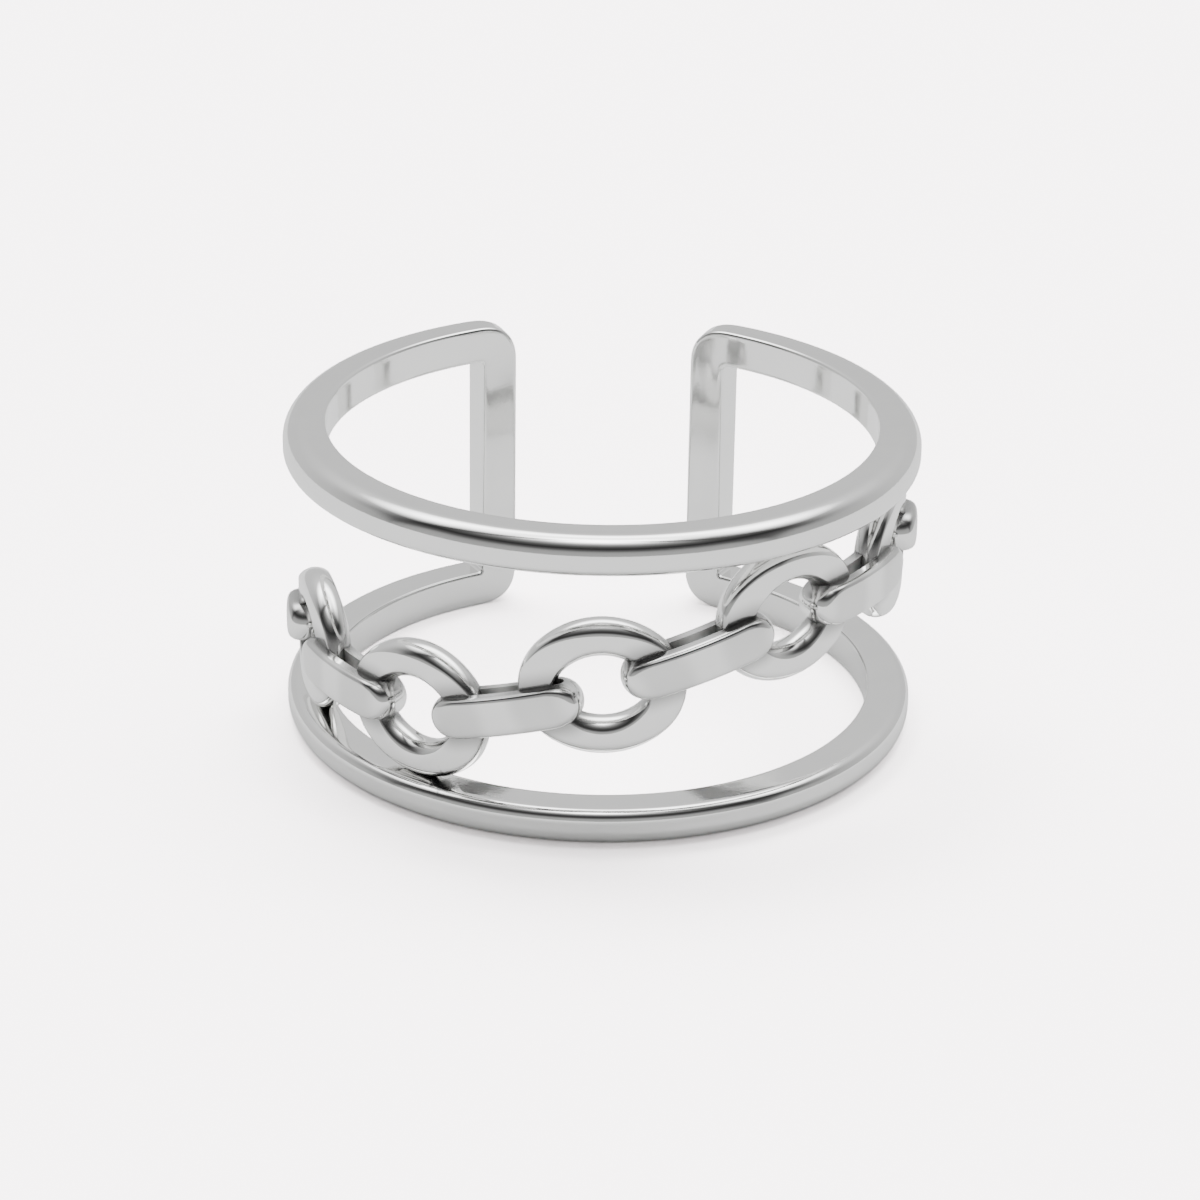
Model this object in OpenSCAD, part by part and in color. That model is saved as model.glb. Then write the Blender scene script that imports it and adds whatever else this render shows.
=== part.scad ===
// Open cuff ring: two rails joined by a post at each end, with a flat chain between them.
// Origin on the finger's axis, level with the face that the lower rail rests on. +Z runs along
// the finger, the chain faces -Y and the open gap is at +Y. All sizes are in millimetres.

/* [Finger] */
// Inside diameter of the rails
finger_d = 17.2; // [15.5:0.1:20]
// How far the links' inner faces lie outside the finger hole
bore_gap = 0.05; // [0.03:0.01:0.1]

/* [Frame] */
// Thickness of the rails and posts, from the finger outwards
frame_t = 1.35; // [1.25:0.05:1.6]
// Height of each rail
rail_h = 1.2; // [1:0.05:1.5]
// Height of the whole ring
ring_h = 10; // [9.4:0.1:10.8]
// Rounding of the outer edges that lie away from the chain
outside_round = 0.6; // [0.3:0.05:0.7]
// Rounding of the outer edges beside the chain
chain_round = 0.35; // [0.2:0.05:0.5]
// Rounding of the inner edges, beside the finger
inner_round = 0.12; // [0.05:0.01:0.2]
// Width of each post round the ring
post_w = 1.3; // [1:0.05:1.6]
// Width of the open gap between the posts
gap_w = 6.2; // [4:0.1:8]
// Inside radius of the corners where the rails turn into the posts
corner_r = 0.15; // [0.1:0.05:0.5]

/* [Round links] */
// Length of a round link along the chain
round_len = 5; // [4.75:0.05:5.25]
// Height of a round link across the chain
round_high = 4.35; // [4.15:0.05:4.55]
// Wire diameter of a round link
round_wire = 1.16; // [1.06:0.02:1.26]
// How far the filed face of a round link lies inside the frame's outer face
round_recess = 0.4; // [0.3:0.05:0.5]
// Depth filed off a round link where its wire stands proudest
round_file = 0.04; // [0.03:0.01:0.15]
// Depth of the flat foot that seats a round link on its rail
seat_depth = 0.03; // [0.02:0.01:0.08]

/* [Oval links] */
// Width of an oval link across the chain
oval_w = 1.28; // [1.2:0.02:1.4]
// Depth filed off the wire of an oval link, inside and out
oval_file = 0.4; // [0.3:0.05:0.5]
// Width of the slot through an oval link
slot_w = 0.44; // [0.38:0.02:0.48]
// Metal left between the end of the slot and the tip of the link
tip_wall = 0.45; // [0.4:0.01:0.5]

/* [Chain] */
// Distance along the chain from one round link to the next
link_pitch = 6.2; // [6:0.05:6.6]
// How far an oval link reaches into the hole of a round link
link_reach = 0.65; // [0.55:0.01:0.9]
// How far a sloping oval link lies nearer the middle round link than halfway
oval_slide = 0.12; // [0:0.01:0.2]
// How far a sloping oval link lies nearer its rail than halfway
oval_lift = 0.08; // [0:0.01:0.15]
// Distance round the ring from the front to the middle of the chain
chain_shift = 0.12; // [-0.5:0.01:0.5]
// Gap between two links that pass through each other
link_gap = 0.04; // [0.03:0.01:0.06]

/* [Hidden] */
$fn = 96;

// Flat steps in a rounded rail edge, and in a quarter turn of a corner
edge_steps = 4;
corner_steps = 8;
// How round a corner is on its outside: 1 is a quarter circle, less is squarer
corner_power = 0.75;
// Angle from a round link's long axis at which its end curve meets its flatter top curve
bow_turn = 45;

// Where a corner joins its rail: length of the corner inside the rail, how far the rail runs on
// over the corner, and how far the corner's surface lies below the rail's
plug = 0.3;
lap = 0.05;
tuck = 0.01;
// How far the round end of an oval link stands over its straight run, so that they join
bow_lap = 0.005;

// Radii of the finger hole, of the middle of the wire and of the frame's outer face
bore_r = finger_d / 2;
mid_r = bore_r + frame_t / 2;
outer_r = bore_r + frame_t;
function turn(arc, r = mid_r) = arc / r * 180 / PI;

// Turn from the front to the place where a rail runs into its corner
gap_turn = asin(gap_w / 2 / mid_r);
rail_turn = 180 - gap_turn - turn(post_w + corner_r);

// Radii of the links' inner face, of the round links' filed face and of their wire's middle
link_in_r = bore_r + bore_gap;
face_r = outer_r - round_recess;
round_r = face_r + round_file - round_wire / 2;
// Half length of the hole in a round link
hole_half = round_len / 2 - round_wire;

// Middle radius of an oval link, half its depth, and the radius of its end before filing
oval_r = (link_in_r + outer_r) / 2;
oval_half = (outer_r - link_in_r) / 2;
bow_r = oval_half + oval_file;

// Heights of the round links that stand on the lower rail, and of the middle round link
low_z = rail_h + round_high / 2 - seat_depth;
mid_z = ring_h / 2;

// The chain's left half, from the end to the middle. The right half is the same turned over.
// Places of its round links: distance round the ring, height
sloped_pitch = sqrt(link_pitch * link_pitch - (mid_z - low_z) * (mid_z - low_z));
ROUNDS = [
    [chain_shift - sloped_pitch - link_pitch, low_z],
    [chain_shift - sloped_pitch, low_z],
    [chain_shift, mid_z]
];

// Lengths of a whole oval link and of a short end link, and the distance of an end link's
// middle from the middle of the last round link
oval_len = link_pitch - 2 * hole_half + 2 * link_reach;
end_len = link_reach + round_wire + link_gap + tip_wall;
end_shift = hole_half - link_reach + end_len / 2;

// Places of its oval links: distance round the ring, height, length, slope
function between(a, b, slide = 0, lift = 0) = [
    (a[0] + b[0]) / 2 + slide,
    (a[1] + b[1]) / 2 + lift,
    oval_len,
    atan((b[1] - a[1]) / (b[0] - a[0]))
];
OVALS = [
    [ROUNDS[0][0] - end_shift, low_z, end_len, 0],
    between(ROUNDS[0], ROUNDS[1]),
    between(ROUNDS[1], ROUNDS[2], oval_slide, -oval_lift)
];

// Outline of the wire with its inner side on x = 0 and its middle at y = 0, and the rounding of
// its outer edge above and below
function wire_outline(above = outside_round, below = chain_round) = let (half_h = rail_h / 2) concat(
    corner(frame_t - above, half_h - above, above, 0, edge_steps),
    corner(inner_round, half_h - inner_round, inner_round, 90, 1),
    corner(inner_round, inner_round - half_h, inner_round, 180, 1),
    corner(frame_t - below, below - half_h, below, 270, edge_steps)
);
function corner(x, y, r, start, steps) = [
    for (k = [0 : steps]) let (a = start + 90 * k / steps) [x + r * cos(a), y + r * sin(a)]
];

// Sets a shape that was made at the front, at height 0, in its place on the ring
module place(arc, z, slope = 0) {
    rotate([0, 0, turn(arc)])
        translate([0, 0, z])
            rotate([0, -slope, 0])
                children();
}

// Turns a link of the chain's left half over to its place in the right half
module turned_over() {
    rotate([0, 0, turn(chain_shift)])
        translate([0, 0, ring_h])
            rotate([0, 180, 0])
                rotate([0, 0, -turn(chain_shift)])
                    children();
}

// A band between two radii about the ring's axis, for filing links inside and out
module filed_band(inner, outer, h) {
    difference() {
        cylinder(r = outer, h = h, center = true);
        cylinder(r = inner, h = 2 * h, center = true);
    }
}

// Closed surface through rings of points of equal number, capped at both ends
module skin(rings) {
    m = len(rings[0]);
    n = len(rings);
    polyhedron(
        points = [for (ring = rings) for (p = ring) p],
        faces = concat(
            [[for (i = [m - 1 : -1 : 0]) i]],
            [[for (i = [0 : m - 1]) (n - 1) * m + i]],
            [for (j = [0 : n - 2]) for (i = [0 : m - 1])
                [j * m + i, j * m + (i + 1) % m, (j + 1) * m + i]],
            [for (j = [0 : n - 2]) for (i = [0 : m - 1])
                [(j + 1) * m + i, j * m + (i + 1) % m, (j + 1) * m + (i + 1) % m]]
        )
    );
}

// A point of a corner, or of the post beside it. The wire's outline p turns by a from the
// post towards the rail, about the corner's middle, which lies at height z. Inside is how far
// the point lies back along the rail
function corner_point(p, a, z, up, inside = 0) = let (
    across = 0.5 + p[1] / rail_h * (1 - 2 * tuck / rail_h),
    arc = corner_r * cos(a) + across * post_w * pow(cos(a), corner_power) - inside,
    rise = corner_r * sin(a) + across * rail_h * pow(sin(a), corner_power),
    t = rail_turn + turn(arc),
    r = mid_r + (p[0] - frame_t / 2) * (1 - 2 * tuck / frame_t)
) [r * sin(t), -r * cos(t), z + up * rise];

module rail(z, outline) {
    translate([0, 0, z])
        rotate([0, 0, -90 - rail_turn - turn(lap)])
            rotate_extrude(angle = 2 * rail_turn + 2 * turn(lap))
                translate([bore_r, 0])
                    polygon(outline);
}

// The post on the right with the corner above it and the corner below it
module post() {
    outline = wire_outline();
    corner_z = rail_h + corner_r;
    skin(concat(
        [[for (p = outline) corner_point(p, 90, ring_h - corner_z, 1, plug)]],
        [for (k = [corner_steps : -1 : 0])
            [for (p = outline) corner_point(p, 90 * k / corner_steps, ring_h - corner_z, 1)]],
        [for (k = [0 : corner_steps])
            [for (p = outline) corner_point(p, 90 * k / corner_steps, corner_z, -1)]],
        [[for (p = outline) corner_point(p, 90, corner_z, -1, plug)]]
    ));
}

// Rails, posts and corners are one closed loop of wire
module cuff_frame() {
    color("silver")
        union() {
            rail(rail_h / 2, wire_outline(chain_round, outside_round));
            rail(ring_h - rail_h / 2, wire_outline());
            post();
            mirror([1, 0, 0]) post();
        }
}

// A quarter or less of a round link's loop: wire bent to radius r about x, y from angle start
module bow(x, y, r, start, angle) {
    translate([x, y, 0])
        rotate([0, 0, start])
            rotate_extrude(angle = angle)
                translate([r, 0])
                    circle(d = round_wire);
}

// A flat loop of round wire at the front, filed to the ring's curve inside and out. Its ends are
// bent tighter than its top and bottom
module round_body() {
    half_len = (round_len - round_wire) / 2;
    half_high = (round_high - round_wire) / 2;
    spread = (half_len - half_high) / (cos(bow_turn) + sin(bow_turn) - 1);
    end_x = spread * cos(bow_turn);
    top_y = -spread * sin(bow_turn);
    intersection() {
        translate([0, -round_r, 0])
            rotate([90, 0, 0])
                for (side = [0, 180])
                    rotate([0, 0, side]) {
                        bow(end_x, 0, half_len - end_x, -bow_turn, 2 * bow_turn);
                        bow(0, top_y, half_high - top_y, bow_turn, 180 - 2 * bow_turn);
                    }
        filed_band(link_in_r, face_r, 2 * round_high);
    }
}

// Outline of an oval link's wire before filing: two wires side by side with the space between
module oval_outline(half_w) {
    axis = bow_r - oval_w / 2;
    square([2 * axis, 2 * half_w], center = true);
    for (side = [-1, 1])
        translate([side * axis, 0])
            circle(r = half_w);
}

// The round end of an oval link before filing: a thick disc with a rounded rim
module oval_bow(half_w) {
    axis = bow_r - oval_w / 2;
    rotate_extrude()
        intersection() {
            union() {
                translate([0, -half_w])
                    square([axis, 2 * half_w]);
                translate([axis, 0])
                    circle(r = half_w);
            }
            translate([0, -half_w])
                square([axis + half_w, 2 * half_w]);
        }
}

// An oval link at the front, seen edge on: a rounded bar bent to the ring, filed inside and
// out, with a slot along it. With grow above 0 it is the room that the link needs
module oval_body(length, grow = 0) {
    half_w = oval_w / 2 + grow;
    bend = turn(length / 2 - bow_r, oval_r);
    slot_half = slot_w / 2 - grow;
    slot_bend = turn(length / 2 - tip_wall - slot_w / 2, oval_r);
    tall = 3 * oval_w;
    difference() {
        intersection() {
            union() {
                rotate([0, 0, -90 - bend])
                    rotate_extrude(angle = 2 * bend)
                        translate([oval_r, 0])
                            oval_outline(half_w);
                for (side = [-1, 1])
                    rotate([0, 0, side * bend])
                        translate([0, -oval_r, 0])
                            oval_bow(half_w + bow_lap);
            }
            filed_band(link_in_r - grow, outer_r + grow, tall);
        }
        rotate([0, 0, -90 - slot_bend])
            rotate_extrude(angle = 2 * slot_bend)
                translate([oval_r, 0])
                    square([2 * slot_half, tall], center = true);
        for (side = [-1, 1])
            rotate([0, 0, side * slot_bend])
                translate([0, -oval_r, 0])
                    cylinder(r = slot_half, h = tall, center = true);
    }
}

module oval_link(i, grow = 0) {
    color("gainsboro")
        place(OVALS[i][0], OVALS[i][1], OVALS[i][3])
            oval_body(OVALS[i][2], grow);
}

// A round link with a flat foot on its rail, cut back where its two oval links pass through
module round_link(i) {
    color("silver")
        difference() {
            place(ROUNDS[i][0], ROUNDS[i][1])
                round_body();
            translate([-outer_r, -outer_r, 0])
                cube([2 * outer_r, 2 * outer_r, rail_h]);
            oval_link(i, link_gap);
            if (i < 2)
                oval_link(i + 1, link_gap);
            else
                turned_over() oval_link(i, link_gap);
        }
}

cuff_frame();
round_link(0);  // round_link_1
round_link(1);  // round_link_2
round_link(2);  // round_link_3
turned_over() round_link(1);  // round_link_4
turned_over() round_link(0);  // round_link_5
oval_link(0);  // oval_link_1
oval_link(1);  // oval_link_2
oval_link(2);  // oval_link_3
turned_over() oval_link(2);  // oval_link_4
turned_over() oval_link(1);  // oval_link_5
turned_over() oval_link(0);  // oval_link_6
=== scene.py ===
"""Chain link ring: an open cuff of two rails in polished white metal, with a flat chain between them."""

import logging
import math
from dataclasses import dataclass, field
from enum import Enum
from typing import Dict, List, Optional, Tuple, Union

import bpy
from mathutils import Matrix, Vector


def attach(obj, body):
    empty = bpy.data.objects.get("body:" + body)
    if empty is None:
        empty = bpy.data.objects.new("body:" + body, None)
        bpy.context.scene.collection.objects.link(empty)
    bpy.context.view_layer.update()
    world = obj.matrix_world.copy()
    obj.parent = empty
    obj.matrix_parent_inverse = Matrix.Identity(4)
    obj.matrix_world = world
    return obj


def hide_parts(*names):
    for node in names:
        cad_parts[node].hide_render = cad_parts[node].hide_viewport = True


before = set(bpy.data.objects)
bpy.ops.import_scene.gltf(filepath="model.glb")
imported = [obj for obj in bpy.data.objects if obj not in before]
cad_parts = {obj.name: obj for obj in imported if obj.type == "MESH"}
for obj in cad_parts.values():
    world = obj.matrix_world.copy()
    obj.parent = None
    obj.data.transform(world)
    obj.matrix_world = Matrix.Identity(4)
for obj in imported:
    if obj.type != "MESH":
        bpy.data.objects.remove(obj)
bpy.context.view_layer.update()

LOG = logging.getLogger("chain_link_ring")
MM = 0.001
QUARTER = math.pi / 2
PHOTO_SIDE = 1200
WELD = 0.0005 * MM
SHARP_EDGE = math.radians(38)
SLOT_MASK = "inside_slot"
# Mask of painted shade on the links, near the links that pass through them.
CREVICE_SHADE_MASK = "crevice"


@dataclass(frozen=True)
class RingSizes:
    """Driving sizes of the ring in metres. They are the part's own, so each piece lies in its solid."""

    bore_r: float = 8.6 * MM
    frame_t: float = 1.35 * MM
    rail_h: float = 1.2 * MM
    ring_h: float = 10.0 * MM
    outside_round: float = 0.6 * MM
    chain_round: float = 0.35 * MM
    inner_round: float = 0.12 * MM
    post_w: float = 1.3 * MM
    gap_w: float = 6.2 * MM
    corner_r: float = 0.15 * MM
    bore_gap: float = 0.05 * MM
    round_len: float = 5.0 * MM
    round_high: float = 4.35 * MM
    round_wire: float = 1.16 * MM
    round_recess: float = 0.4 * MM
    round_file: float = 0.04 * MM
    seat_depth: float = 0.03 * MM
    oval_w: float = 1.28 * MM
    oval_file: float = 0.4 * MM
    slot_w: float = 0.44 * MM
    tip_wall: float = 0.45 * MM
    link_pitch: float = 6.2 * MM
    link_reach: float = 0.65 * MM
    oval_slide: float = 0.12 * MM
    oval_lift: float = 0.08 * MM
    chain_shift: float = 0.12 * MM
    link_gap: float = 0.04 * MM
    corner_power: float = 0.75
    bow_turn: float = math.radians(45)

    @property
    def mid_r(self) -> float:
        """Radius of the middle of the wire."""
        return self.bore_r + self.frame_t / 2

    @property
    def outer_r(self) -> float:
        """Radius of the outer face of the rails and of the oval links."""
        return self.bore_r + self.frame_t

    @property
    def link_in_r(self) -> float:
        """Radius of the links' inner faces."""
        return self.bore_r + self.bore_gap

    @property
    def face_r(self) -> float:
        """Radius of the round links' filed faces."""
        return self.outer_r - self.round_recess

    @property
    def bow_r(self) -> float:
        """Radius of an oval link's round end, seen from above, before filing."""
        return (self.outer_r - self.link_in_r) / 2 + self.oval_file

    @property
    def rail_arc(self) -> float:
        """Distance round the ring from the front to where a rail runs into its corner."""
        gap_turn = math.asin(self.gap_w / 2 / self.mid_r)
        return (math.pi - gap_turn) * self.mid_r - self.post_w - self.corner_r


@dataclass(frozen=True)
class LinkPlace:
    """Where a link lies: distance round the ring, height, length along the chain and slope."""

    arc: float
    height: float
    length: float
    slope: float = 0.0


class ChainPlan:
    """Places of the chain's links, from the left end to the right end."""

    def __init__(self, sizes: RingSizes) -> None:
        """Works out both halves of the chain; the right half is the left one turned over.

        Args:
            sizes: the ring's driving sizes.
        """
        self.sizes = sizes
        low = sizes.rail_h + sizes.round_high / 2 - sizes.seat_depth
        mid = sizes.ring_h / 2
        run = math.sqrt(sizes.link_pitch**2 - (mid - low) ** 2)
        left = [
            LinkPlace(sizes.chain_shift - run - sizes.link_pitch, low, sizes.round_len),
            LinkPlace(sizes.chain_shift - run, low, sizes.round_len),
        ]
        middle = LinkPlace(sizes.chain_shift, mid, sizes.round_len)
        self.rounds = left + [middle] + [self.turned_over(link) for link in reversed(left)]
        hole_half = sizes.round_len / 2 - sizes.round_wire
        end_len = sizes.link_reach + sizes.round_wire + sizes.link_gap + sizes.tip_wall
        end = LinkPlace(left[0].arc - hole_half + sizes.link_reach - end_len / 2, low, end_len)
        ovals = [
            end,
            self.between(left[0], left[1], 0.0, 0.0),
            self.between(left[1], middle, sizes.oval_slide, -sizes.oval_lift),
        ]
        self.ovals = ovals + [self.turned_over(link) for link in reversed(ovals)]

    def turned_over(self, link: LinkPlace) -> LinkPlace:
        """The place that a link of the left half takes in the right half when the ring is turned over."""
        arc = 2 * self.sizes.chain_shift - link.arc
        return LinkPlace(arc, self.sizes.ring_h - link.height, link.length, link.slope)

    def between(self, a: LinkPlace, b: LinkPlace, slide: float, lift: float) -> LinkPlace:
        """Places the oval link that joins two round links.

        Args:
            a: the round link on its left.
            b: the round link on its right.
            slide: how far it lies to the right of halfway.
            lift: how far it lies above halfway.

        Returns:
            The oval link's place.
        """
        hole_half = self.sizes.round_len / 2 - self.sizes.round_wire
        length = self.sizes.link_pitch - 2 * hole_half + 2 * self.sizes.link_reach
        slope = math.atan2(b.height - a.height, b.arc - a.arc)
        return LinkPlace((a.arc + b.arc) / 2 + slide, (a.height + b.height) / 2 + lift, length, slope)


Number = Union["Field", float, int]


class Field:
    """A number that a node tree works out at every point, with the usual arithmetic."""

    def __init__(self, sheet: "Sheet", socket: bpy.types.NodeSocket) -> None:
        """Wraps an output socket.

        Args:
            sheet: the tree that the socket is in.
            socket: the output that gives the number.
        """
        self.sheet = sheet
        self.socket = socket

    def __add__(self, other: Number) -> "Field":
        """This number plus another."""
        return self.sheet.math("ADD", self, other)

    def __radd__(self, other: Number) -> "Field":
        """Another number plus this one."""
        return self.sheet.math("ADD", other, self)

    def __sub__(self, other: Number) -> "Field":
        """This number less another."""
        return self.sheet.math("SUBTRACT", self, other)

    def __rsub__(self, other: Number) -> "Field":
        """Another number less this one."""
        return self.sheet.math("SUBTRACT", other, self)

    def __mul__(self, other: Number) -> "Field":
        """This number times another."""
        return self.sheet.math("MULTIPLY", self, other)

    def __rmul__(self, other: Number) -> "Field":
        """Another number times this one."""
        return self.sheet.math("MULTIPLY", other, self)

    def __truediv__(self, other: Number) -> "Field":
        """This number over another."""
        return self.sheet.math("DIVIDE", self, other)


class Sheet:
    """A node tree being drawn: it adds nodes and joins their sockets."""

    def __init__(self, tree: bpy.types.NodeTree) -> None:
        """Starts on a tree.

        Args:
            tree: the node tree to draw in.
        """
        self.tree = tree

    def add(self, kind: str, **settings: object) -> bpy.types.Node:
        """Adds a node and sets its options.

        Args:
            kind: Blender's name for the node type.
            settings: the node's options by name.

        Returns:
            The new node.
        """
        node = self.tree.nodes.new(kind)
        for name, value in settings.items():
            setattr(node, name, value)
        return node

    def feed(self, socket: bpy.types.NodeSocket, value: object) -> None:
        """Links a field or an output to an input, or sets the input's own value.

        Args:
            socket: the input.
            value: a field, an output, or a plain value.
        """
        source = value.socket if isinstance(value, Field) else value
        if isinstance(source, bpy.types.NodeSocket):
            self.tree.links.new(source, socket)
        else:
            socket.default_value = source

    def math(self, operation: str, *values: Number) -> Field:
        """Adds a Math node.

        Args:
            operation: the Math node's operation.
            values: its inputs in order.

        Returns:
            Its result.
        """
        node = self.add("ShaderNodeMath", operation=operation)
        for socket, value in zip(node.inputs, values):
            self.feed(socket, value)
        return Field(self, node.outputs[0])

    def call(self, kind: str, inputs: Dict[str, object], **settings: object) -> bpy.types.Node:
        """Adds a node and feeds its inputs by name.

        Args:
            kind: Blender's name for the node type.
            inputs: what goes into each named input.
            settings: the node's options by name.

        Returns:
            The new node.
        """
        node = self.add(kind, **settings)
        for name, value in inputs.items():
            self.feed(node.inputs[name], value)
        return node

    def combine(self, x: Number, y: Number, z: Number) -> bpy.types.NodeSocket:
        """Joins three numbers into a vector."""
        return self.call("ShaderNodeCombineXYZ", {"X": x, "Y": y, "Z": z}).outputs[0]

    def mask(self, name: str) -> Field:
        """A mask that the mesh carries, in a material."""
        return Field(self, self.add("ShaderNodeAttribute", attribute_name=name).outputs["Fac"])


class ShapeTree(Sheet):
    """A Geometry Nodes tree with named size inputs that ends in Realize Instances and Set Material."""

    def __init__(self, name: str, inputs: List[str]) -> None:
        """Makes the tree and its inputs.

        Args:
            name: the tree's name.
            inputs: names of the number inputs, all in metres or radians.
        """
        super().__init__(bpy.data.node_groups.new(name, "GeometryNodeTree"))
        self.tree.interface.new_socket("Geometry", in_out="INPUT", socket_type="NodeSocketGeometry")
        for label in inputs:
            self.tree.interface.new_socket(label, in_out="INPUT", socket_type="NodeSocketFloat")
        self.tree.interface.new_socket("Material", in_out="INPUT", socket_type="NodeSocketMaterial")
        self.tree.interface.new_socket("Geometry", in_out="OUTPUT", socket_type="NodeSocketGeometry")
        self.given = self.add("NodeGroupInput")

    def size(self, name: str) -> Field:
        """The tree's input of that name."""
        return Field(self, self.given.outputs[name])

    def grid(self, stations: int, points: int) -> Tuple[bpy.types.NodeSocket, Field, Field]:
        """Lays a grid whose two directions both come back to their start.

        Args:
            stations: steps along the path.
            points: steps round the section.

        Returns:
            The grid, and each vertex's station and point.
        """
        counts = {"Vertices X": stations + 1, "Vertices Y": points + 1}
        mesh = self.call("GeometryNodeMeshGrid", counts).outputs["Mesh"]
        index = Field(self, self.add("GeometryNodeInputIndex").outputs[0])
        station = self.math("FLOOR", index / (points + 1))
        return mesh, station, index - station * (points + 1)

    def shaped(self, mesh: bpy.types.NodeSocket, x: Field, y: Field, z: Field) -> bpy.types.NodeSocket:
        """Moves the grid's vertices to their places and closes its seams.

        Args:
            mesh: the grid.
            x: each vertex's place along X.
            y: along Y.
            z: along Z.

        Returns:
            The closed surface.
        """
        moved = self.call("GeometryNodeSetPosition", {"Geometry": mesh, "Position": self.combine(x, y, z)})
        closed = {"Geometry": moved.outputs[0], "Distance": WELD}
        return self.call("GeometryNodeMergeByDistance", closed).outputs[0]

    def finish(self, mesh: bpy.types.NodeSocket) -> bpy.types.NodeTree:
        """Smooths the surface, gives it the material and ends the tree.

        Args:
            mesh: the finished surface.

        Returns:
            The tree.
        """
        angle = self.add("GeometryNodeInputMeshEdgeAngle").outputs[0]
        soft = self.math("LESS_THAN", Field(self, angle), SHARP_EDGE)
        faces = self.call(
            "GeometryNodeSetShadeSmooth", {"Geometry": mesh, "Shade Smooth": True}, domain="FACE"
        )
        smooth = self.call(
            "GeometryNodeSetShadeSmooth",
            {"Geometry": faces.outputs[0], "Shade Smooth": soft},
            domain="EDGE",
        )
        real = self.call("GeometryNodeRealizeInstances", {"Geometry": smooth.outputs[0]})
        dressed = {"Geometry": real.outputs[0], "Material": self.given.outputs["Material"]}
        last = self.call("GeometryNodeSetMaterial", dressed)
        self.call("NodeGroupOutput", {"Geometry": last.outputs[0]})
        return self.tree


class Walk:
    """Steps round a rounded rectangle: how far each corner and each straight side has been walked."""

    def __init__(self, sheet: Sheet, index: Field, corner: int, long_side: int, short_side: int) -> None:
        """Splits a running index into corners and sides.

        Args:
            sheet: the tree to draw in.
            index: the running index of each point.
            corner: steps in a quarter turn.
            long_side: steps along a long side.
            short_side: steps along a short side.
        """
        half = 2 * corner + long_side + short_side
        self.steps = 2 * half
        turn = sheet.math("FLOORED_MODULO", index, self.steps)
        self.second = sheet.math("GREATER_THAN", turn, half - 0.5)
        step = turn - self.second * half

        def walked(start: int, count: int) -> Number:
            """The share of a stretch of steps that lies behind.

            Args:
                start: the step that the stretch starts at.
                count: its steps.

            Returns:
                The share, from 0 to 1.
            """
            if not count:
                return 0.0
            return sheet.math("MINIMUM", sheet.math("MAXIMUM", (step - start) / count, 0), 1)

        turned = walked(0, corner) + walked(corner + long_side, corner)
        self.along = walked(corner, long_side)
        self.down = walked(2 * corner + long_side, short_side)
        self.side = 1 - 2 * self.second
        self.out_x = self.side * sheet.math("COSINE", turned * QUARTER)
        self.out_y = self.side * sheet.math("SINE", turned * QUARTER)

    def outline(
        self, half_x: Field, half_y: Field, right: Field, left: Field, below: Optional[Field] = None
    ) -> Tuple[Field, Field]:
        """The point of a rounded rectangle about the middle.

        Args:
            half_x: half its length.
            half_y: half its height.
            right: radius of the corners on the +X side.
            left: radius of the corners on the -X side.
            below: radius of the lower corner on the +X side, if it differs.

        Returns:
            The point's x and y.
        """
        below = below or right
        first = right + (left - right) * self.second
        last = left + (below - left) * self.second
        following = left + (right - left) * self.second
        radius = first + (last - first) * self.along
        x = (half_x - first) * (1 - self.along) - (half_x - last) * self.along
        y = (half_y - radius) * (1 - self.down) - (half_y - following) * self.down
        return self.side * x + self.out_x * radius, self.side * y + self.out_y * radius


def filed(
    sheet: Sheet, x: Field, y: Field, inner: Number, outer: Number, edge: Number
) -> Tuple[Field, Field]:
    """Files a shape to two radii about the ring's axis, with a soft edge.

    Args:
        sheet: the tree to draw in.
        x: place along X.
        y: place along Y.
        inner: the least radius.
        outer: the greatest radius.
        edge: how far the filed edge is rounded off.

    Returns:
        The filed x and y.
    """
    radius = sheet.math("SQRT", x * x + y * y)
    kept = sheet.math("SMOOTH_MAX", sheet.math("SMOOTH_MIN", radius, outer, edge), inner, edge)
    return x * kept / radius, y * kept / radius


def turned(sheet: Sheet, x: Field, y: Field, angle: Number) -> Tuple[Field, Field]:
    """Turns a point about the ring's axis.

    Args:
        sheet: the tree to draw in.
        x: place along X.
        y: place along Y.
        angle: the turn in radians, to the right seen from the front.

    Returns:
        The turned x and y.
    """
    c, s = sheet.math("COSINE", angle), sheet.math("SINE", angle)
    return x * c - y * s, x * s + y * c


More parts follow.
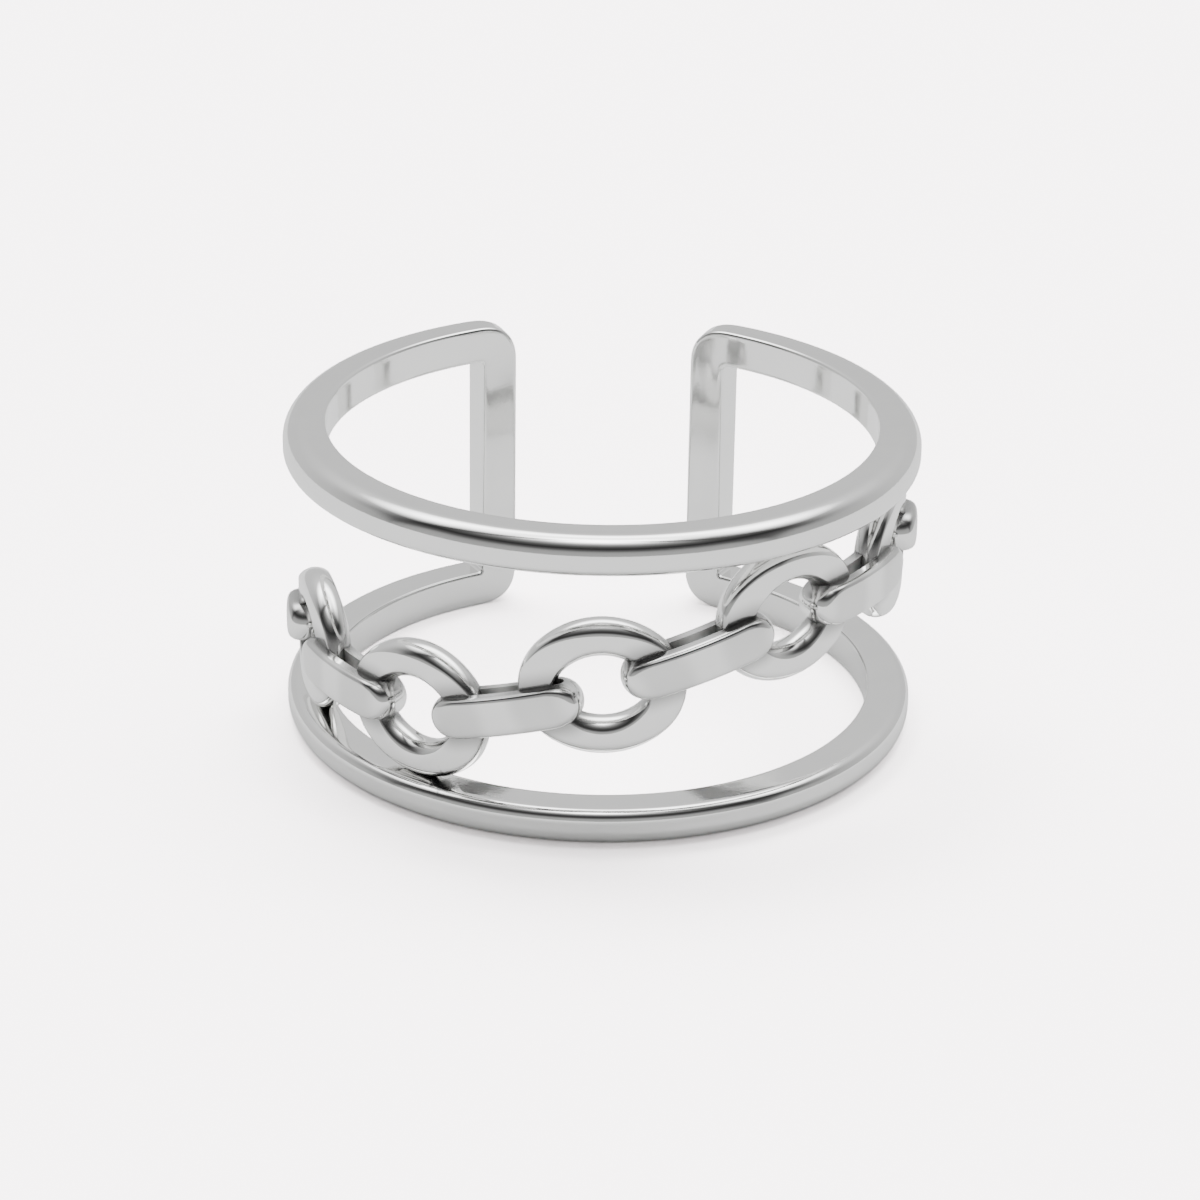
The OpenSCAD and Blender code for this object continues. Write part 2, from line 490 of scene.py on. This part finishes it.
class CuffFrameTree(ShapeTree):
    """The cuff's closed loop of wire: bent flat first, then wrapped round the finger."""

    CORNER, RAIL, POST = 24, 220, 26
    EDGE, DEPTH, FACE = 12, 10, 8

    def __init__(self) -> None:
        """Draws the tree."""
        names = [
            "Rail Arc", "Corner Radius", "Ring Height", "Rail Height", "Post Width",
            "Bore Radius", "Thickness", "Outside Rounding", "Chain Rounding", "Inner Rounding",
            "Corner Power",
        ]
        super().__init__("cuff frame", names)
        path_steps = 2 * (2 * self.CORNER + self.RAIL + self.POST)
        section_steps = 2 * (2 * self.EDGE + self.DEPTH + self.FACE)
        mesh, station, point = self.grid(path_steps, section_steps)
        path = Walk(self, station, self.CORNER, self.RAIL, self.POST)
        section = Walk(self, point, self.EDGE, self.DEPTH, self.FACE)
        rail_h, corner_r = self.size("Rail Height"), self.size("Corner Radius")
        thick = self.size("Thickness")
        arc, rise = path.outline(
            self.size("Rail Arc") + corner_r, self.size("Ring Height") / 2 - rail_h, corner_r, corner_r
        )
        depth, across = section.outline(
            thick / 2, rail_h / 2,
            self.size("Outside Rounding"), self.size("Inner Rounding"), self.size("Chain Rounding"),
        )
        out = across + rail_h / 2
        arc = arc + self.squared(path.out_x) * out * self.size("Post Width") / rail_h
        rise = rise + self.squared(path.out_y) * out
        radius = self.size("Bore Radius") + thick / 2 + depth
        angle = arc / (self.size("Bore Radius") + thick / 2)
        x = radius * self.math("SINE", angle)
        y = radius * self.math("COSINE", angle) * -1
        self.finish(self.shaped(mesh, x, y, rise + self.size("Ring Height") / 2))

    def squared(self, part: Field) -> Field:
        """Makes the outside of a corner squarer than a quarter circle.

        Args:
            part: one part of the direction out of the corner, from -1 to 1.

        Returns:
            The same part for the squarer corner.
        """
        size = self.math("POWER", self.math("ABSOLUTE", part), self.size("Corner Power"))
        return size * self.math("SIGN", part)


class OvalLinkTree(ShapeTree):
    """An oval link seen edge on: a rounded bar bent to the ring, filed, with a slot along it."""

    SIZES = [
        "Width", "End Radius", "Tip Wall", "Slot Width", "Inner Radius", "Outer Radius", "Edge", "Grow",
    ]
    PLACE = ["Angle", "Height", "Length", "Slope"]
    BOW, RUN = 26, 44
    SECTION, WALL = 88, 10
    SLOT_FROM = 0.985

    def __init__(self) -> None:
        """Draws the tree."""
        super().__init__("oval link", self.PLACE + self.SIZES)
        grow = self.size("Grow")
        half_w = self.size("Width") / 2 + grow
        axis = self.size("End Radius") - self.size("Width") / 2
        half_len = self.size("Length") / 2
        bend = half_len - self.size("End Radius")
        bow = self.size("End Radius") + grow
        slot = self.size("Slot Width") / 2 - grow
        slot_half = half_len - self.size("Tip Wall") - grow
        middle = (self.size("Inner Radius") + self.size("Outer Radius")) / 2

        mesh, station, point = self.grid(2 * (2 * self.BOW + self.RUN), self.SECTION + self.WALL)
        path = Walk(self, station, self.BOW, self.RUN, 0)
        rim_x, rim_y = path.outline(half_len + grow, bow, bow, bow)
        slot_x, slot_y = path.outline(slot_half, slot, slot, slot)
        turn = self.math("FLOORED_MODULO", point, self.SECTION + self.WALL)
        swing = self.math("MINIMUM", turn / self.SECTION, 1) * 2 - 1
        climb = self.math("MAXIMUM", (turn - self.SECTION) / self.WALL, 0)
        inward = 1 - self.math("COSINE", swing * QUARTER)
        along = rim_x + (slot_x - rim_x) * inward
        across = rim_y + (slot_y - rim_y) * inward
        straight = self.math("MINIMUM", self.math("MAXIMUM", along, bend * -1), bend)
        beyond = along - straight
        off_axis = self.math("SQRT", beyond * beyond + across * across) - axis
        round_off = self.math("MAXIMUM", off_axis, 0)
        high = self.math("SQRT", self.math("MAXIMUM", half_w * half_w - round_off * round_off, 0))
        z = high * self.math("SIGN", swing) * (climb * -2 + 1)

        x, y = turned(self, beyond, (middle + across) * -1, straight / middle)
        inner, outer = self.size("Inner Radius") - grow, self.size("Outer Radius") + grow
        x, y = filed(self, x, y, inner, outer, self.size("Edge"))
        c = self.math("COSINE", self.size("Slope"))
        s = self.math("SINE", self.size("Slope"))
        x, z = x * c - z * s, x * s + z * c
        x, y = turned(self, x, y, self.size("Angle"))
        inside = self.math("GREATER_THAN", inward, self.SLOT_FROM)
        masked = self.call(
            "GeometryNodeStoreNamedAttribute",
            {"Geometry": mesh, "Name": SLOT_MASK, "Value": inside},
            data_type="FLOAT",
        )
        self.finish(self.shaped(masked.outputs[0], x, y, z + self.size("Height")))


class RoundLinkTree(ShapeTree):
    """A flat loop of round wire, filed to the ring, seated on its rail, with room for its neighbours."""

    SIZES = [
        "Link Height", "Bow Turn", "Wire", "Wire Radius", "Inner Radius", "Face Radius", "Edge",
        "Lower Seat", "Upper Seat",
    ]
    LOOP, WIRE = 180, 120

    def __init__(self, oval: bpy.types.NodeTree, oval_sizes: Dict[str, float]) -> None:
        """Draws the tree.

        Args:
            oval: the oval link's tree, which makes the room that each neighbour needs.
            oval_sizes: the oval link's sizes, grown by the gap.
        """
        places = [f"{side} {name}" for side in ("Left", "Right") for name in OvalLinkTree.PLACE]
        super().__init__("round link", ["Angle", "Height", "Length"] + self.SIZES + places)
        wire_r = self.size("Wire") / 2
        mesh, station, point = self.grid(self.LOOP, self.WIRE)
        way = station * (2 * math.pi / self.LOOP)
        out_x, out_z = self.math("COSINE", way), self.math("SINE", way)
        half_len = self.size("Length") / 2 - wire_r
        half_high = self.size("Link Height") / 2 - wire_r
        x, z = self.loop(out_x, out_z, half_len, half_high)
        around = point * (2 * math.pi / self.WIRE)
        out = self.math("COSINE", around) * wire_r
        x = x + out_x * out
        z = z + out_z * out + self.size("Height")
        y = (self.math("SINE", around) * wire_r + self.size("Wire Radius")) * -1
        x, y = filed(self, x, y, self.size("Inner Radius"), self.size("Face Radius"), self.size("Edge"))
        z = self.math("MINIMUM", self.math("MAXIMUM", z, self.size("Lower Seat")), self.size("Upper Seat"))
        x, y = turned(self, x, y, self.size("Angle"))
        body = self.shaped(mesh, x, y, z)
        cut = self.call(
            "GeometryNodeMeshBoolean", {"Mesh 1": body}, operation="DIFFERENCE", solver="MANIFOLD"
        )
        for side in ("Left", "Right"):
            inputs: Dict[str, object] = dict(oval_sizes)
            inputs.update({name: self.size(f"{side} {name}") for name in OvalLinkTree.PLACE})
            room = self.call("GeometryNodeGroup", inputs, node_tree=oval)
            self.tree.links.new(room.outputs[0], cut.inputs["Mesh 2"])
        self.finish(cut.outputs["Mesh"])

    def loop(self, out_x: Field, out_z: Field, half_len: Field, half_high: Field) -> Tuple[Field, Field]:
        """A point of the wire's middle line, bent tighter at the ends than at the top and bottom.

        Args:
            out_x: how far the way out of the loop points along the link.
            out_z: how far it points up.
            half_len: half the middle line's length.
            half_high: half its height.

        Returns:
            The point's place along the link and across it.
        """
        c, s = self.math("COSINE", self.size("Bow Turn")), self.math("SINE", self.size("Bow Turn"))
        spread = (half_len - half_high) / (c + s - 1)
        end = self.math("GREATER_THAN", self.math("ABSOLUTE", out_x), c)
        radius = half_high + spread * s - end * spread
        x = out_x * radius + end * self.math("SIGN", out_x) * spread * c
        z = out_z * radius - (1 - end) * self.math("SIGN", out_z) * spread * s
        return x, z


class CreviceShadeTree(ShapeTree):
    """Marks how near each point of a link lies to the two links that pass through it, where painted shade
    darkens the tone.
    """

    def __init__(self) -> None:
        """Draws the tree."""
        super().__init__("crevices", ["Reach"])
        sides = ("Left", "Right")
        for side in sides:
            self.tree.interface.new_socket(side, in_out="INPUT", socket_type="NodeSocketObject")
        both = self.add("GeometryNodeJoinGeometry")
        for side in sides:
            near = self.call("GeometryNodeObjectInfo", {"Object": self.given.outputs[side]})
            self.tree.links.new(near.outputs["Geometry"], both.inputs[0])
        gap = self.call("GeometryNodeProximity", {0: both.outputs[0]}, target_element="FACES")
        nearness = self.call(
            "ShaderNodeMapRange",
            {"Value": gap.outputs["Distance"], "From Min": self.size("Reach"), "From Max": 0.0},
            interpolation_type="SMOOTHSTEP",
        )
        link = self.given.outputs["Geometry"]
        marked = self.call(
            "GeometryNodeStoreNamedAttribute",
            {"Geometry": link, "Name": CREVICE_SHADE_MASK, "Value": nearness.outputs[0]},
            data_type="FLOAT",
        )
        self.finish(marked.outputs[0])


def baked(name: str, tree: bpy.types.NodeTree, values: Dict[str, object]) -> bpy.types.Object:
    """Runs a tree once and keeps the result as a plain mesh.

    Args:
        name: the new object's name.
        tree: the Geometry Nodes tree.
        values: the tree's inputs by name.

    Returns:
        An object at the origin with its place in its mesh.
    """
    obj = bpy.data.objects.new(name, bpy.data.meshes.new(name))
    bpy.context.scene.collection.objects.link(obj)
    return rebaked(obj, tree, values)


def rebaked(
    obj: bpy.types.Object, tree: bpy.types.NodeTree, values: Dict[str, object]
) -> bpy.types.Object:
    """Runs a tree on an object and keeps the result as its plain mesh.

    Args:
        obj: the object, whose mesh the tree is given.
        tree: the Geometry Nodes tree.
        values: the tree's inputs by name.

    Returns:
        The same object.
    """
    modifier = obj.modifiers.new("shape", "NODES")
    modifier.node_group = tree
    for item in tree.interface.items_tree:
        if item.in_out == "INPUT" and item.name in values:
            modifier[item.identifier] = values[item.name]
    depsgraph = bpy.context.evaluated_depsgraph_get()
    mesh = bpy.data.meshes.new_from_object(obj.evaluated_get(depsgraph))
    obj.modifiers.remove(modifier)
    # The bare mesh that a tree starts on leaves an empty material slot before its own.
    mesh.materials.clear()
    mesh.materials.append(values["Material"])
    mesh.polygons.foreach_set("material_index", [0] * len(mesh.polygons))
    obj.data = mesh
    mesh.name = obj.name
    return obj


class Slot(Enum):
    """The record's material slots."""

    POLISHED_SILVER = "polished_silver"


class Work(Enum):
    """What a finish is for: the frame, a round link, or an oval link with its slot."""

    FRAME = "frame"
    ROUND_LINK = "round links"
    OVAL_LINK = "oval links"


@dataclass(frozen=True)
class PolishedFinish:
    """A hand-polished white metal, with painted shade where links pass through each other, dull in the
    slots, and darker at a fleck of solder.
    """

    tone: Tuple[float, float, float] = (0.86, 0.86, 0.85)
    roughness: float = 0.055
    haze: float = 0.05
    swirl: float = 0.00002
    slot_dull: float = 0.55
    # How much painted shade darkens the tone where links pass through each other.
    crevice_shade_dark: float = 0.75
    fleck_place: Tuple[float, float, float] = (-4.6 * MM, -8.15 * MM, 1.25 * MM)
    fleck_size: float = 0.5 * MM

    def material(
        self, work: Work, marks: bpy.types.NodeTree, fleck: bpy.types.NodeTree
    ) -> bpy.types.Material:
        """Makes the material.

        Args:
            work: the kind of piece that it is for.
            marks: the polishing marks' node group.
            fleck: the solder fleck's node group.

        Returns:
            The finished material.
        """
        material = bpy.data.materials.new(f"polished {work.value}")
        material.use_nodes = True
        sheet = Sheet(material.node_tree)
        shader = material.node_tree.nodes["Principled BSDF"]
        place = sheet.add("ShaderNodeTexCoord").outputs["Object"]
        solder = sheet.call(
            "ShaderNodeGroup", {"Place": place, "Middle": self.fleck_place, "Size": self.fleck_size},
            node_tree=fleck,
        )
        inputs: Dict[str, object] = {
            "Place": place,
            "Tone": (*self.tone, 1.0),
            "Roughness": self.roughness,
            "Haze": self.haze,
            "Stain": solder.outputs["Mask"],
        }
        if work is not Work.FRAME:
            # Painted shade: the tone darkens where neighbouring links come close, joined with the solder
            # fleck's mask.
            crevice = sheet.mask(CREVICE_SHADE_MASK) * self.crevice_shade_dark
            inputs["Stain"] = sheet.math("MAXIMUM", Field(sheet, solder.outputs["Mask"]), crevice)
        if work is Work.OVAL_LINK:
            inputs["Dull"] = sheet.mask(SLOT_MASK) * self.slot_dull
        wheel = sheet.call("ShaderNodeGroup", inputs, node_tree=marks)
        sheet.feed(shader.inputs["Base Color"], wheel.outputs["Tone"])
        sheet.feed(shader.inputs["Roughness"], wheel.outputs["Roughness"])
        sheet.feed(shader.inputs["Metallic"], wheel.outputs["Metal"] if work is Work.OVAL_LINK else 1.0)
        bump = sheet.call("ShaderNodeBump", {"Height": wheel.outputs["Height"], "Distance": self.swirl})
        sheet.feed(shader.inputs["Normal"], bump.outputs["Normal"])
        return material


def shader_group(name: str, given: Dict[str, str], put_out: Dict[str, str]) -> Tuple[Sheet, bpy.types.Node]:
    """Starts a shader node group.

    Args:
        name: the group's name.
        given: its inputs and their kinds.
        put_out: its outputs and their kinds.

    Returns:
        The group's sheet and its input node.
    """
    tree = bpy.data.node_groups.new(name, "ShaderNodeTree")
    for in_out, sockets in (("INPUT", given), ("OUTPUT", put_out)):
        for label, kind in sockets.items():
            tree.interface.new_socket(label, in_out=in_out, socket_type=f"NodeSocket{kind}")
    sheet = Sheet(tree)
    return sheet, sheet.add("NodeGroupInput")


@dataclass(frozen=True)
class SolderFleck:
    """A ragged fleck where a link is soldered to its rail."""

    grain: float = 3500.0
    grain_detail: float = 2.0
    raggedness: float = 1.4
    core: float = 0.55

    def tree(self) -> bpy.types.NodeTree:
        """Draws the shader group.

        Returns:
            The node group, which puts out a mask.
        """
        sheet, given = shader_group(
            "solder fleck", {"Place": "Vector", "Middle": "Vector", "Size": "Float"}, {"Mask": "Float"}
        )
        place = given.outputs["Place"]
        offset = sheet.call(
            "ShaderNodeVectorMath", {0: place, 1: given.outputs["Middle"]}, operation="SUBTRACT"
        )
        away = sheet.call("ShaderNodeVectorMath", {0: offset.outputs[0]}, operation="LENGTH")
        reach = Field(sheet, away.outputs["Value"]) / Field(sheet, given.outputs["Size"])
        ragged = sheet.call(
            "ShaderNodeTexNoise", {"Vector": place, "Scale": self.grain, "Detail": self.grain_detail}
        )
        edge = reach + (Field(sheet, ragged.outputs[0]) - 0.5) * self.raggedness
        mask = sheet.call(
            "ShaderNodeMapRange", {"Value": edge, "From Min": 1.0, "From Max": self.core},
            interpolation_type="SMOOTHSTEP",
        )
        sheet.call("NodeGroupOutput", {"Mask": mask.outputs[0]})
        return sheet.tree


@dataclass(frozen=True)
class Noise:
    """One size of unevenness over a surface: how fine, how detailed and how rough it is."""

    scale: float
    detail: float
    roughness: float


@dataclass(frozen=True)
class PolishingMarks:
    """Marks of the polishing wheel: soft waves, faint hairlines and hazy patches."""

    waves: Noise = Noise(420.0, 2.0, 0.4)
    patches: Noise = Noise(900.0, 3.0, 0.55)
    grain: Noise = Noise(9000.0, 2.0, 0.6)
    grain_share: float = 0.3
    grain_height: float = 0.02
    brightest: float = 1.03
    patch_shade: float = 0.06
    # How far the second mask darkens the tone: a solder fleck, and painted shade between links.
    stain_and_shade_dark: float = 0.75
    stain_roughness: float = 0.2
    dull_roughness: float = 0.5

    def tree(self) -> bpy.types.NodeTree:
        """Draws the shader group.

        Returns:
            The node group, which puts out a tone, a roughness, how metallic the surface is and a height.
        """
        sheet, given = shader_group(
            "polishing marks",
            {
                "Place": "Vector", "Tone": "Color", "Roughness": "Float", "Haze": "Float", "Dull": "Float",
                "Stain": "Float",
            },
            {"Tone": "Color", "Roughness": "Float", "Metal": "Float", "Height": "Float"},
        )

        def uneven(noise: Noise) -> Field:
            """A noise field over the surface."""
            inputs = {"Scale": noise.scale, "Detail": noise.detail, "Roughness": noise.roughness}
            texture = sheet.call("ShaderNodeTexNoise", {"Vector": given.outputs["Place"], **inputs})
            return Field(sheet, texture.outputs[0])

        waves, patches, grain = uneven(self.waves), uneven(self.patches), uneven(self.grain)
        dull, stain_and_shade, haze, plain = (
            Field(sheet, given.outputs[name]) for name in ("Dull", "Stain", "Haze", "Roughness")
        )
        rough = (patches * (1 - self.grain_share) + grain * self.grain_share) * haze
        worn = dull * self.dull_roughness + stain_and_shade * self.stain_roughness
        # Darkens the tone by the second mask: a real solder fleck, and painted shade where links pass
        # through each other.
        shade = (self.brightest - patches * self.patch_shade) * (1 - stain_and_shade * self.stain_and_shade_dark)
        toned = sheet.call("ShaderNodeVectorMath", {0: given.outputs["Tone"]}, operation="SCALE")
        sheet.feed(toned.inputs["Scale"], shade)
        sheet.call("NodeGroupOutput", {
            "Tone": toned.outputs[0],
            "Roughness": rough + plain + worn,
            "Metal": 1 - dull,
            "Height": waves + grain * self.grain_height,
        })
        return sheet.tree


@dataclass
class CuffFrame:
    """The rails, posts and corners, one closed loop of wire."""

    sizes: RingSizes
    finish: bpy.types.Material

    def build(self) -> bpy.types.Object:
        """Builds the loop and sets it in place of its solid.

        Returns:
            The finished loop.
        """
        sizes = self.sizes
        values = {
            "Rail Arc": sizes.rail_arc,
            "Corner Radius": sizes.corner_r,
            "Ring Height": sizes.ring_h,
            "Rail Height": sizes.rail_h,
            "Post Width": sizes.post_w,
            "Bore Radius": sizes.bore_r,
            "Thickness": sizes.frame_t,
            "Outside Rounding": sizes.outside_round,
            "Chain Rounding": sizes.chain_round,
            "Inner Rounding": sizes.inner_round,
            "Corner Power": sizes.corner_power,
            "Material": self.finish,
        }
        return hand_over(baked("polished_cuff_frame", CuffFrameTree().tree, values), "cuff_frame")


@dataclass
class Chain:
    """The round links and the oval links between them."""

    sizes: RingSizes
    round_finish: bpy.types.Material
    oval_finish: bpy.types.Material
    round_edge: float = 0.08 * MM
    oval_edge: float = 0.42 * MM
    end_edge: float = 0.6 * MM
    # How far from the neighbouring links the painted shade reaches.
    crevice_shade_reach: float = 0.65 * MM
    plan: ChainPlan = field(init=False)

    def __post_init__(self) -> None:
        """Works out where the links lie."""
        self.plan = ChainPlan(self.sizes)

    def oval_sizes(self, grow: float) -> Dict[str, float]:
        """Sizes of an oval link, or of the room that it needs.

        Args:
            grow: how far every face moves outwards.

        Returns:
            The oval tree's size inputs.
        """
        sizes = self.sizes
        return {
            "Width": sizes.oval_w,
            "End Radius": sizes.bow_r,
            "Tip Wall": sizes.tip_wall,
            "Slot Width": sizes.slot_w,
            "Inner Radius": sizes.link_in_r,
            "Outer Radius": sizes.outer_r,
            "Edge": self.oval_edge,
            "Grow": grow,
        }

    def placed(self, link: LinkPlace, side: str = "") -> Dict[str, float]:
        """The place inputs of a link.

        Args:
            link: where the link lies.
            side: a word that goes before each name, for a neighbour on that side.

        Returns:
            The tree's place inputs.
        """
        angle = link.arc / self.sizes.mid_r
        values = {"Angle": angle, "Height": link.height, "Length": link.length, "Slope": link.slope}
        return {f"{side} {name}".strip(): value for name, value in values.items()}

    def oval_links(self, tree: bpy.types.NodeTree) -> List[bpy.types.Object]:
        """Builds the oval links.

        Args:
            tree: the oval link's tree.

        Returns:
            The links from left to right.
        """
        links = []
        for number, link in enumerate(self.plan.ovals, 1):
            values: Dict[str, object] = {**self.oval_sizes(0.0), **self.placed(link)}
            values["Material"] = self.oval_finish
            if number in (1, len(self.plan.ovals)):
                values["Edge"] = self.end_edge
            links.append(baked(f"polished_oval_{number}", tree, values))
        return links

    def round_links(self, tree: bpy.types.NodeTree) -> List[bpy.types.Object]:
        """Builds the round links.

        Args:
            tree: the round link's tree.

        Returns:
            The links from left to right.
        """
        sizes = self.sizes
        links = []
        for number, link in enumerate(self.plan.rounds, 1):
            values = {
                **self.placed(link),
                **self.placed(self.plan.ovals[number - 1], "Left"),
                **self.placed(self.plan.ovals[number], "Right"),
                "Link Height": sizes.round_high,
                "Bow Turn": sizes.bow_turn,
                "Wire": sizes.round_wire,
                "Wire Radius": sizes.face_r + sizes.round_file - sizes.round_wire / 2,
                "Inner Radius": sizes.link_in_r,
                "Face Radius": sizes.face_r,
                "Edge": self.round_edge,
                "Lower Seat": sizes.rail_h,
                "Upper Seat": sizes.ring_h - sizes.rail_h,
                "Material": self.round_finish,
            }
            links.append(baked(f"polished_round_{number}", tree, values))
        return links

    def mark_crevice_shade(self, ovals: List[bpy.types.Object], rounds: List[bpy.types.Object]) -> None:
        """Marks on every link where its neighbours come close, for the painted shade there.

        Args:
            ovals: the oval links from left to right.
            rounds: the round links from left to right.
        """
        crevices = CreviceShadeTree().tree
        row = [link for pair in zip(ovals, rounds) for link in pair] + [ovals[-1]]
        for place, link in enumerate(row):
            near = {"Left": row[max(place - 1, 0)], "Right": row[min(place + 1, len(row) - 1)]}
            near = {side: other for side, other in near.items() if other is not link}
            own = self.round_finish if link in rounds else self.oval_finish
            rebaked(link, crevices, {**near, "Reach": self.crevice_shade_reach, "Material": own})

    def build(self) -> List[bpy.types.Object]:
        """Builds every link, marks where painted shade goes near its neighbours and sets it in place of its
        solid.

        Returns:
            The finished links, the oval ones first.
        """
        oval_tree = OvalLinkTree().tree
        ovals = self.oval_links(oval_tree)
        rounds = self.round_links(RoundLinkTree(oval_tree, self.oval_sizes(self.sizes.link_gap)).tree)
        self.mark_crevice_shade(ovals, rounds)
        made = [hand_over(piece, f"oval_link_{number}") for number, piece in enumerate(ovals, 1)]
        return made + [hand_over(piece, f"round_link_{number}") for number, piece in enumerate(rounds, 1)]


def hand_over(piece: bpy.types.Object, node: str) -> bpy.types.Object:
    """Lets a finished piece stand for its solid and move with the ring.

    Args:
        piece: the finished mesh.
        node: the solid's name.

    Returns:
        The piece.
    """
    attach(piece, "root")
    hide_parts(node)
    return piece


@dataclass(frozen=True)
class SkyBand:
    """Light of the room at one height above the horizon, before the camera's side and elsewhere."""

    height: float
    front: float
    rest: float


@dataclass
class Studio:
    """A pale table under a soft white tent that is dark where the photographer stands.

    Directions round the room are cosines of the angle from the camera's side.
    """

    table_size: float = 3.0
    table_tone: Tuple[float, float, float] = (4.3, 4.05, 4.1)
    mirrored_tone: float = 0.92
    brightest: float = 10.0
    front_starts: float = -0.77
    front_full: float = 0.26
    patch_facing: float = 0.36
    patch_slant: float = 0.14
    patch_width: float = 0.22
    patch_depth: float = 0.5
    darkest: float = 0.478
    bands: Tuple[SkyBand, ...] = (
        SkyBand(0, 0.55, 0.9),
        SkyBand(10, 0.50, 0.9),
        SkyBand(20, 0.44, 0.9),
        SkyBand(32, 0.13, 1.0),
        SkyBand(43, 0.03, 1.2),
        SkyBand(54, 0.12, 5.0),
        SkyBand(60, 0.25, 7.0),
        SkyBand(67, 0.5, 5.0),
        SkyBand(75, 2.0, 3.6),
        SkyBand(84, 8.0, 7.5),
        SkyBand(90, 10.0, 10.0),
    )

    def table(self) -> None:
        """Lays the pale table, which the ring mirrors darker than the camera sees it."""
        half = self.table_size / 2
        mesh = bpy.data.meshes.new("table")
        corners = [(-half, -half, 0), (half, -half, 0), (half, half, 0), (-half, half, 0)]
        mesh.from_pydata(corners, [], [(0, 1, 2, 3)])
        table = bpy.data.objects.new("table", mesh)
        bpy.context.scene.collection.objects.link(table)
        material = bpy.data.materials.new("pale table")
        material.use_nodes = True
        material.node_tree.nodes.remove(material.node_tree.nodes["Principled BSDF"])
        sheet = Sheet(material.node_tree)
        direct = Field(sheet, sheet.add("ShaderNodeLightPath").outputs["Is Camera Ray"])
        tones = [direct * (part - self.mirrored_tone) + self.mirrored_tone for part in self.table_tone]
        chalk = sheet.call("ShaderNodeBsdfDiffuse", {"Color": sheet.combine(*tones)})
        sheet.feed(material.node_tree.nodes["Material Output"].inputs["Surface"], chalk.outputs[0])
        mesh.materials.append(material)

    def ramp(self, sheet: Sheet, height: Field, lights: List[float]) -> Field:
        """Looks a height up in a row of bands.

        Args:
            sheet: the room's tree.
            height: height above the horizon, from 0 to 1 at the top.
            lights: the bands' lights.

        Returns:
            The light at that height.
        """
        ramp = sheet.call("ShaderNodeValToRGB", {"Fac": height})
        elements = ramp.color_ramp.elements
        elements.remove(elements[1])
        for number, (band, light) in enumerate(zip(self.bands, lights)):
            element = elements[0] if number == 0 else elements.new(band.height / 90)
            element.position = band.height / 90
            element.color = (*[light / self.brightest] * 3, 1)
        return Field(sheet, ramp.outputs["Color"]) * self.brightest

    def room(self) -> None:
        """Lights the room by height, with the photographer's dark side in front."""
        world = bpy.data.worlds.new("soft room")
        bpy.context.scene.world = world
        world.use_nodes = True
        sheet = Sheet(world.node_tree)
        background = world.node_tree.nodes["Background"]
        way = sheet.add("ShaderNodeTexCoord").outputs["Generated"]
        split = sheet.call("ShaderNodeSeparateXYZ", {"Vector": way})
        x, y, z = (Field(sheet, split.outputs[axis]) for axis in "XYZ")
        height = sheet.math("ARCSINE", z) / QUARTER
        level = sheet.math("MAXIMUM", sheet.math("SQRT", x * x + y * y), 0.0001)
        facing = y / level * -1
        front = Field(sheet, sheet.call(
            "ShaderNodeMapRange",
            {"Value": facing, "From Min": self.front_starts, "From Max": self.front_full},
            interpolation_type="SMOOTHSTEP",
        ).outputs[0])
        side = x / level * self.patch_slant + self.patch_facing
        patch = sheet.math("MAXIMUM", 1 - sheet.math("ABSOLUTE", facing - side) / self.patch_width, 0)
        spread = (height - self.darkest) * (1 - patch * self.patch_depth) + self.darkest
        before = self.ramp(sheet, spread, [band.front for band in self.bands])
        around = self.ramp(sheet, height, [band.rest for band in self.bands])
        light = around + (before - around) * front
        sheet.feed(background.inputs["Color"], sheet.combine(light, light, light))
        background.inputs["Strength"].default_value = 1.0

    def build(self) -> None:
        """Builds the table and the room."""
        self.table()
        self.room()


@dataclass
class PhotoCamera:
    """The camera that the photo was taken from."""

    elevation: float = math.radians(24.264)
    distance: float = 118.0 * MM
    aim_height: float = 3.684 * MM
    lens: float = 111.15
    film: float = 36.0
    nearest: float = 10.0 * MM
    sideways: float = 0.33 / PHOTO_SIDE
    roll: float = math.radians(0.9)

    def build(self) -> None:
        """Sets up the camera."""
        data = bpy.data.cameras.new("photo")
        data.lens = self.lens
        data.sensor_width = self.film
        data.shift_x = self.sideways
        data.clip_start = self.nearest
        camera = bpy.data.objects.new("photo", data)
        back = Vector((0, -math.cos(self.elevation), math.sin(self.elevation)))
        camera.location = Vector((0, 0, self.aim_height)) + back * self.distance
        tipped = Matrix.Rotation(QUARTER - self.elevation, 3, "X") @ Matrix.Rotation(self.roll, 3, "Z")
        camera.rotation_euler = tipped.to_euler()
        bpy.context.scene.collection.objects.link(camera)
        bpy.context.scene.camera = camera


def main() -> None:
    """Builds the ring and the studio, and reports each piece."""
    logging.basicConfig(level=logging.INFO, format="%(message)s")
    sizes = RingSizes()
    PhotoCamera().build()
    marks, fleck = PolishingMarks().tree(), SolderFleck().tree()
    finishes = {work: PolishedFinish().material(work, marks, fleck) for work in Work}
    pieces = [CuffFrame(sizes, finishes[Work.FRAME]).build()]
    pieces += Chain(sizes, finishes[Work.ROUND_LINK], finishes[Work.OVAL_LINK]).build()
    for piece in pieces:
        LOG.info("%s: %d faces", piece.name, len(piece.data.polygons))
    Studio().build()


if __name__ == "__main__":
    main()
